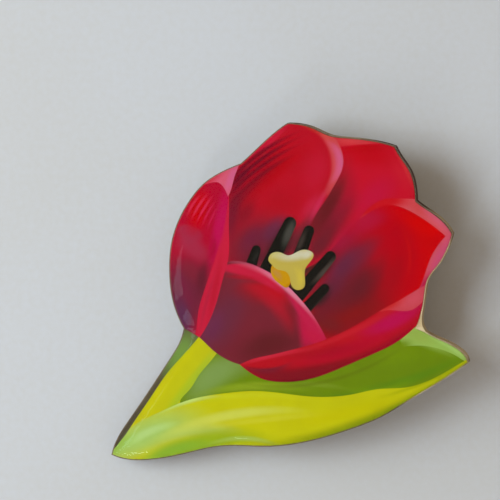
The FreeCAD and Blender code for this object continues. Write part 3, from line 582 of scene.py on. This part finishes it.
STIGMA_STROKES_PX = [
    ((270, 258), (277, 254), (286, 258), 4, 4, 1.0, 0.7, (196, 188, 128)),
    ((279, 257), (294, 255), (313, 252), 5, 5.5, 1.0, 0.95, (200, 192, 162)),
    ((304, 258), (308, 254), (312, 252), 3.4, 3.4, 1.0, 0.8, (202, 196, 170)),
    ((296, 268), (301, 278), (299, 288), 4, 4, 1.0, 0.6, (206, 180, 60)),
    ((292, 289), (298, 292), (304, 288), 2.4, 3, 1.0, 0.8, (198, 146, 36)),
]
STYLE_STROKES_PX = [
    ((272, 270), (277, 273), (281, 280), 3, 3, 1.0, 0.8, (184, 130, 60)),
    ((282, 288), (289, 285), (294, 280), 2, 2, 1.0, 0.6, (176, 112, 12)),
]
STAMEN_STROKES_PX = [
    ((284, 246), (289, 233), (294, 221), 4.5, 4.5, 1.0, 0.62, (84, 82, 74)),
    ((288, 248), (293, 237), (297, 226), 2.4, 2.4, 1.0, 0.5, (84, 74, 68)),
    ((313, 282), (325, 271), (336, 257), 3, 3, 1.0, 0.7, (86, 74, 66)),
    ((297, 252), (302, 241), (306, 231), 2.6, 2.6, 1.0, 0.6, (74, 62, 56)),
    ((313, 310), (323, 301), (333, 290), 3, 3, 1.0, 0.6, (76, 60, 58)),
    ((253, 262), (256, 256), (259, 250), 2.4, 2.4, 1.0, 0.35, (54, 52, 48)),
]


def dress_print():
    upper = print_material("upper petal ink", (178, 12, 32), UPPER_PETAL_STROKES_PX)
    back = print_material("back petal ink", (190, 14, 38), BACK_PETAL_STROKES_PX)
    front = print_material("front petal ink", (116, 34, 46), FRONT_PETAL_STROKES_PX)
    inks = {
        "upper_petal_print": upper,
        "upper_petal_rim_print": upper,
        "back_petal_print": back,
        "back_petal_lip_print": print_material("back lip ink", (198, 40, 50), BACK_LIP_STROKES_PX),
        "right_petal_print": print_material("right petal ink", (178, 0, 18), RIGHT_PETAL_STROKES_PX),
        "right_petal_rim_print": print_material("right rim ink", CORAL, RIGHT_RIM_STROKES_PX),
        "left_petal_print": print_material("left petal ink", (170, 8, 42), LEFT_PETAL_STROKES_PX),
        "left_petal_fold_print": print_material("left fold ink", (192, 28, 56), LEFT_FOLD_STROKES_PX),
        "left_petal_tip_print": print_material("left tip ink", (206, 84, 108), LEFT_TIP_STROKES_PX),
        "front_petal_print": front,
        "front_petal_rim_print": front,
        "lower_petal_print": print_material("lower petal ink", (178, 16, 30), LOWER_PETAL_STROKES_PX),
        "lower_petal_glow_print": print_material("lower glow ink", (196, 66, 76), GLOW_STROKES_PX),
        "front_leaf_print": print_material("front leaf ink", YELLOW, FRONT_LEAF_STROKES_PX),
        "stem_print": print_material("stem ink", (186, 180, 18), STEM_STROKES_PX),
        "leaf_shadow_print": print_material("leaf shadow ink", BARK, LEAF_SHADOW_STROKES_PX),
        "back_leaf_print": print_material("back leaf ink", (104, 128, 12), BACK_LEAF_STROKES_PX),
        "back_leaf_rim_print": print_material("leaf rim ink", (148, 176, 80), LEAF_RIM_STROKES_PX),
        "stigma_print": print_material("stigma ink", BUTTER, STIGMA_STROKES_PX),
        "style_print": print_material("style ink", AMBER, STYLE_STROKES_PX),
        "stamens_print": print_material("stamen ink", SOOT, STAMEN_STROKES_PX),
    }
    for name, material in inks.items():
        dress(name, material)


def dress(name, material):
    slots = nodes[name].data.materials
    slots.clear()
    slots.append(material)


# The wood: bare birch, with the margin and the laser-cut walls charred brown. The strokes make the char
# fainter,
# so the wood paler, in places: the first list on the margin and the walls, the second on the walls alone.

PALER_EDGE_PX = [
    ((452, 238), (432, 282), (424, 334), 14, 14, 0.3, 1.0),
    ((414, 334), (420, 326), (428, 318), 12, 12, 0.4, 1.0),
    ((424, 334), (446, 342), (470, 362), 8, 8, 0.4, 0.6),
    ((404, 402), (438, 384), (470, 364), 7, 7, 0.5, 0.7),
]
PALE_WALL_PX = [
    ((300, 116), (340, 128), (380, 134), 12, 12, 0.5, 0.6),
    ((428, 200), (444, 212), (462, 236), 12, 12, 0.5, 0.8),
    ((426, 328), (450, 336), (476, 362), 12, 10, 0.3, 1.0),
]
GRAIN_ACROSS = (0.12, 1.0, 1.0)
GRAIN_UP = (1.0, 0.12, 1.0)
PALE_WALL_SHARE = 0.95
PALER_EDGE_SHARE = 0.85
WALL_START, WALL_FULL = 0.7, 0.3
FACE_START, FACE_FULL = 0.9, 0.99
SOOT_SCALE = 1.3
SOOT_DEPTH = 0.4
WOOD_ROUGHNESS = 0.75
WOOD_SHEEN = 0.25


def spared(tree, place, burnt, stroke, share):
    # Less char inside the stroke.
    kept = maths(tree, "MULTIPLY_ADD", stroke_mask(tree, place, stroke), -share, 1)
    return maths(tree, "MULTIPLY", burnt, kept)


def wood_material(name, stretch, char_strength, wall_char):
    material, tree, shader = new_material(name)
    place = plate_place(tree)
    grain = use_group(
        tree, wood_group, place=place, stretch=stretch, light=linear(BIRCH), dark=linear(BIRCH_GRAIN))
    normal = add_node(tree, "ShaderNodeNewGeometry").outputs["Normal"]
    upright = vectors(tree, "DOT_PRODUCT", normal, tuple(plate_turn @ UP))
    wall = eased(tree, maths(tree, "ABSOLUTE", upright), WALL_START, WALL_FULL)
    soot = noise(tree, place, SOOT_SCALE, 3, 0.6)
    face_char = maths(tree, "MULTIPLY", eased(tree, upright, FACE_START, FACE_FULL), char_strength)
    for stroke in PALE_WALL_PX:
        wall = spared(tree, place, wall, stroke, PALE_WALL_SHARE)
    burnt = maths(tree, "MAXIMUM", wall, face_char)
    for stroke in PALER_EDGE_PX:
        burnt = spared(tree, place, burnt, stroke, PALER_EDGE_SHARE)
    sooty = maths(tree, "ADD", wall_char, maths(tree, "MULTIPLY", soot, SOOT_DEPTH))
    burnt = maths(tree, "MULTIPLY", burnt, sooty)
    colour = blended(tree, burnt, grain["Colour"], linear(CHAR))
    feed(tree, shader.inputs["Base Color"], colour)
    shader.inputs["Roughness"].default_value = WOOD_ROUGHNESS
    shader.inputs["Specular IOR Level"].default_value = WOOD_SHEEN
    add_bump(tree, shader, grain["Height"], strength=0.25, depth=0.05 * MM)
    return material


def dress_wood():
    front = wood_material("front ply birch", GRAIN_ACROSS, char_strength=0.9, wall_char=0.72)
    core = wood_material("core ply birch", GRAIN_UP, char_strength=0, wall_char=0.84)
    back = wood_material("back ply birch", GRAIN_ACROSS, char_strength=0, wall_char=0.66)
    dress("front_veneer", front)
    dress("core_veneer", core)
    dress("back_veneer", back)


# The bar pin: satin nickel plate, a brighter wire, and a foam pad

FOAM_WHITE = (236, 234, 226)
FOAM_GREY = (208, 205, 196)
FOAM_CELL_SCALE = 5
FOAM_ROUGHNESS = 0.9
LONG_SCRATCHES = (0.3, 1.0, 1.0)
EVEN_SCRATCHES = (1.0, 1.0, 1.0)
PLATE_NICKEL, PLATE_TARNISH = (204, 200, 190), (170, 160, 142)
TURNED_NICKEL, TURNED_TARNISH = (208, 204, 196), (176, 168, 152)
BRIGHT_STEEL, STEEL_TARNISH = (214, 213, 210), (190, 188, 182)


def metal_material(name, colour, tarnish, stretch, low, high):
    material, tree, shader = new_material(name)
    place = plate_place(tree)
    made = use_group(tree, brushed_group, place=place, stretch=stretch, low=low, high=high)
    feed(tree, shader.inputs["Base Color"], blended(tree, made["Tarnish"], linear(colour), linear(tarnish)))
    feed(tree, shader.inputs["Roughness"], made["Roughness"])
    shader.inputs["Metallic"].default_value = 1
    add_bump(tree, shader, made["Height"], strength=0.15, depth=0.02 * MM)
    return material


def foam_material():
    material, tree, shader = new_material("adhesive foam")
    place = plate_place(tree)
    cells = noise(tree, place, FOAM_CELL_SCALE, 3, 0.7)
    colour = blended(tree, eased(tree, cells, 0.35, 0.65), linear(FOAM_WHITE), linear(FOAM_GREY))
    feed(tree, shader.inputs["Base Color"], colour)
    shader.inputs["Roughness"].default_value = FOAM_ROUGHNESS
    add_bump(tree, shader, cells, strength=0.4, depth=0.05 * MM)
    return material


def dress_pin():
    plated = metal_material(
        "satin nickel", PLATE_NICKEL, PLATE_TARNISH, LONG_SCRATCHES, low=0.22, high=0.42)
    turned = metal_material(
        "turned nickel", TURNED_NICKEL, TURNED_TARNISH, EVEN_SCRATCHES, low=0.16, high=0.34)
    wire = metal_material(
        "bright wire", BRIGHT_STEEL, STEEL_TARNISH, LONG_SCRATCHES, low=0.1, high=0.24)
    dress("base_bar", plated)
    dress("catch_housing", turned)
    dress("catch_roller", turned)
    dress("hinge_rivet", turned)
    dress("pin_stem", wire)
    dress("glue_pad", foam_material())


# The clear resin over the print: a rounded rim, then a very slight swell toward the middle

RESIN_BURY = 0.03 * MM
RESIN_TOP = 1.2 * MM
RESIN_FOOT = 0.12 * MM
RESIN_SLOPE_WIDTH = 0.9 * MM
RESIN_RINGS = (0.03 * MM, 0.1 * MM, 0.22 * MM, 0.38 * MM, 0.58 * MM, 0.82 * MM, 1.1 * MM)
RESIN_CELL = 0.7 * MM
TIP_TURN = math.radians(60)
TIP_REACH = 3.0 * MM
OUTLINE_SPACING = 0.08 * MM
WELD = 1e-7
RESIN_TINT = (252, 251, 247)
RESIN_IOR = 1.25
RESIN_POLISH = 0.015
SMEAR_SCALE = 0.35
SMEAR_HAZE = 0.03


def face_outline():
    # The plate's face as one flat sheet in the plate's own frame.
    sheet = bmesh.new()
    sheet.from_mesh(nodes["front_veneer"].data)
    bmesh.ops.remove_doubles(sheet, verts=sheet.verts, dist=WELD)
    sheet.normal_update()
    normal = plate_turn @ UP
    others = [face for face in sheet.faces if face.normal.dot(normal) < FACES_UP]
    bmesh.ops.delete(sheet, geom=others, context="FACES")
    bmesh.ops.dissolve_faces(sheet, faces=sheet.faces, use_verts=False)
    bmesh.ops.transform(sheet, matrix=plate_unturn.to_4x4(), verts=sheet.verts)
    bmesh.ops.translate(sheet, vec=-plate_corner, verts=sheet.verts)
    return sheet


def straighten_tips(sheet):
    # Near a sharp tip the outline keeps the tip alone, so that it can be drawn in without crossing itself.
    loops = list(sheet.faces[:][0].loops)
    tips = []
    for loop in loops:
        before = loop.vert.co - loop.link_loop_prev.vert.co
        after = loop.link_loop_next.vert.co - loop.vert.co
        if before.cross(after).z > 0 and before.angle(after) > TIP_TURN:
            tips.append(loop.vert)
    near = []
    for vertex in sheet.verts:
        if vertex not in tips and any((vertex.co - tip.co).length < TIP_REACH for tip in tips):
            near.append(vertex)
    bmesh.ops.dissolve_verts(sheet, verts=near)


def outline_marks(sheet):
    # Places close together all along the outline, each with the straight piece that it lies on.
    marks = []
    for edge in sheet.edges:
        start, end = (vertex.co.copy() for vertex in edge.verts)
        count = max(1, math.ceil((end - start).length / OUTLINE_SPACING))
        marks += [(start.lerp(end, index / count), start, end) for index in range(count)]
    tree = kdtree.KDTree(len(marks))
    for index, mark in enumerate(marks):
        tree.insert(mark[0], index)
    tree.balance()
    return marks, tree


def away_from_outline(outline, place):
    # The flat step from the nearest place on the outline.
    marks, tree = outline
    flat = Vector((place.x, place.y, 0))
    start, end = marks[tree.find(flat)[1]][1:]
    share = geometry.intersect_point_line(flat, start, end)[1]
    return flat - start.lerp(end, min(max(share, 0), 1))


def resin_height(distance):
    # Steep at the edge, then ever flatter toward the middle, as poured resin sets.
    return RESIN_FOOT + (RESIN_TOP - RESIN_FOOT) * (1 - math.exp(-distance / RESIN_SLOPE_WIDTH))


def raise_rim(sheet):
    # A low wall that starts a little inside the wood, and rings that step in up the slope.
    bmesh.ops.translate(sheet, vec=(0, 0, -RESIN_BURY), verts=sheet.verts)
    made = bmesh.ops.extrude_face_region(sheet, geom=sheet.faces[:])
    inner = [item for item in made["geom"] if isinstance(item, bmesh.types.BMFace)]
    move_up(sheet, inner, RESIN_FOOT + RESIN_BURY)
    reached = 0
    for reach in RESIN_RINGS:
        bmesh.ops.inset_region(
            sheet, faces=inner, thickness=reach - reached, use_even_offset=True, use_boundary=True)
        move_up(sheet, inner, resin_height(reach) - resin_height(reached))
        reached = reach


def move_up(sheet, faces, distance):
    corners = list({vertex for face in faces for vertex in face.verts})
    bmesh.ops.translate(sheet, vec=(0, 0, distance), verts=corners)


def cut_into_cells(sheet):
    # Straight cuts both ways over the flat middle, one cell apart.
    far = [max(vertex.co[axis] for vertex in sheet.verts) for axis in (0, 1)]
    for axis in (0, 1):
        across = Vector((0, 0, 0))
        across[axis] = 1
        for step in range(1, math.ceil(far[axis] / RESIN_CELL)):
            parts = {}
            for face in sheet.faces:
                if face.normal.z > LEVEL:
                    parts.update(dict.fromkeys((face, *face.edges, *face.verts)))
            bmesh.ops.bisect_plane(
                sheet, geom=list(parts), dist=WELD, plane_co=across * step * RESIN_CELL, plane_no=across)


def swell(sheet, outline):
    # The middle goes on rising with the distance from the outline.
    level = max(vertex.co.z for vertex in sheet.verts)
    for vertex in sheet.verts:
        if vertex.co.z > level - WELD:
            distance = max(away_from_outline(outline, vertex.co).length, RESIN_RINGS[-1])
            vertex.co.z = resin_height(distance)


def surface_normals(sheet, outline):
    # The poured surface's own normals, so that gleams run smoothly over it.
    normals = []
    for vertex in sheet.verts:
        step = away_from_outline(outline, vertex.co)
        if vertex.co.z < 0 or step.length < WELD:
            normals.append(vertex.normal.copy())
            continue
        slope = (RESIN_TOP - RESIN_FOOT) / RESIN_SLOPE_WIDTH * math.exp(-step.length / RESIN_SLOPE_WIDTH)
        normals.append((UP - step.normalized() * slope).normalized())
    return normals


def resin_material():
    # Clear resin: polished, with faint smears and a little haze. Its shadow lets the light through.
    material, tree, shader = new_material("clear doming resin")
    place = plate_place(tree)
    smears = noise(tree, place, SMEAR_SCALE, 4, 0.6)
    haze = maths(tree, "MULTIPLY", eased(tree, smears, 0.45, 0.8), SMEAR_HAZE)
    feed(tree, shader.inputs["Roughness"], maths(tree, "ADD", RESIN_POLISH, haze))
    shader.inputs["Base Color"].default_value = linear(RESIN_TINT)
    shader.inputs["IOR"].default_value = RESIN_IOR
    shader.inputs["Transmission Weight"].default_value = 1
    add_bump(tree, shader, smears, strength=0.015, depth=0.2 * MM)
    clear = add_node(tree, "ShaderNodeBsdfTransparent")
    mixed = add_node(tree, "ShaderNodeMixShader")
    feed(tree, mixed.inputs[0], add_node(tree, "ShaderNodeLightPath").outputs["Is Shadow Ray"])
    feed(tree, mixed.inputs[1], shader.outputs[0])
    feed(tree, mixed.inputs[2], clear.outputs[0])
    feed(tree, tree.nodes["Material Output"].inputs["Surface"], mixed.outputs[0])
    return material


def make_resin():
    sheet = face_outline()
    straighten_tips(sheet)
    outline = outline_marks(sheet)
    raise_rim(sheet)
    cut_into_cells(sheet)
    swell(sheet, outline)
    bmesh.ops.recalc_face_normals(sheet, faces=sheet.faces)
    sheet.normal_update()
    normals = [plate_turn @ normal for normal in surface_normals(sheet, outline)]
    for face in sheet.faces:
        face.smooth = True
    bmesh.ops.translate(sheet, vec=plate_corner, verts=sheet.verts)
    bmesh.ops.transform(sheet, matrix=plate_turn.to_4x4(), verts=sheet.verts)
    mesh = bpy.data.meshes.new("domed_resin")
    sheet.to_mesh(mesh)
    sheet.free()
    mesh.normals_split_custom_set_from_vertices(normals)
    mesh.materials.append(resin_material())
    resin = bpy.data.objects.new("domed_resin", mesh)
    bpy.context.scene.collection.objects.link(resin)
    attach(resin, "root")
    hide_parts("resin_dome")


# The table, the light and the room

SOFT_PANE_COLOUR = (0.85, 0.95, 1.0)
SOFT_PANE_PLACE = Vector((-0.55, 0.14, 0.43))
SOFT_PANE_SIZE = (0.42, 0.60)
SOFT_PANE_POWER = 5.35
WINDOW_PLACES = (Vector((-0.55, -0.12, 0.44)), Vector((-0.50, -0.26, 0.44)))
WINDOW_SIZE = (0.08, 0.60)
WINDOW_POWER = 0.42
WINDOW_COLOUR = (0.62, 0.78, 1.0)
GLINT_PLACE = Vector((-0.26, -0.49, 0.42))
GLINT_SIZE = (0.07, 0.30)
GLINT_POWER = 0.48
ROOM_COLOUR = (1.0, 0.84, 0.66)
ROOM_LIGHT = 0.38


TABLE_GREY = (200, 200, 200)
TABLE_CLOUD_SCALE = 9
TABLE_CLOUD_SHARE = 0.75
TABLE_GRAIN_SCALE = 900
TABLE_ROUGHNESS = 0.6
TABLE_HALF_WIDTH = 1.5


def floor_material():
    material, tree, shader = new_material("pale table")
    place = add_node(tree, "ShaderNodeTexCoord").outputs["Object"]
    cloud = noise(tree, place, TABLE_CLOUD_SCALE, 4, 0.55)
    grain = noise(tree, place, TABLE_GRAIN_SCALE, 2, 0.5)
    mix = mixed_noise(tree, cloud, grain, TABLE_CLOUD_SHARE)
    colour = blended(tree, eased(tree, mix, 0.3, 0.7), linear(TABLE), linear(TABLE_GREY))
    feed(tree, shader.inputs["Base Color"], colour)
    shader.inputs["Roughness"].default_value = TABLE_ROUGHNESS
    return material


def make_table():
    mesh = bpy.data.meshes.new("table_top")
    top = bmesh.new()
    bmesh.ops.create_grid(top, x_segments=1, y_segments=1, size=TABLE_HALF_WIDTH)
    top.to_mesh(mesh)
    top.free()
    mesh.materials.append(floor_material())
    table = bpy.data.objects.new("table_top", mesh)
    bpy.context.scene.collection.objects.link(table)


def make_pane(place, size, power, colour):
    data = bpy.data.lights.new("window pane", "AREA")
    data.shape = "RECTANGLE"
    data.size, data.size_y = size
    data.energy = power
    data.color = colour
    light = bpy.data.objects.new("window pane", data)
    light.location = place
    light.rotation_mode = "QUATERNION"
    light.rotation_quaternion = place.to_track_quat("Z", "Y")
    bpy.context.scene.collection.objects.link(light)
    return light


def make_light():
    soft_pane = make_pane(SOFT_PANE_PLACE, SOFT_PANE_SIZE, SOFT_PANE_POWER, SOFT_PANE_COLOUR)
    soft_pane.visible_glossy = False
    for place in WINDOW_PLACES:
        make_pane(place, WINDOW_SIZE, WINDOW_POWER, WINDOW_COLOUR)
    make_pane(GLINT_PLACE, GLINT_SIZE, GLINT_POWER, SOFT_PANE_COLOUR)
    world = bpy.data.worlds.new("pale room")
    world.use_nodes = True
    background = world.node_tree.nodes["Background"]
    background.inputs["Color"].default_value = (*ROOM_COLOUR, 1)
    background.inputs["Strength"].default_value = ROOM_LIGHT
    bpy.context.scene.world = world


make_camera()
dress_print()
dress_wood()
dress_pin()
make_resin()
make_table()
make_light()
bpy.context.scene.view_settings.view_transform = "Standard"
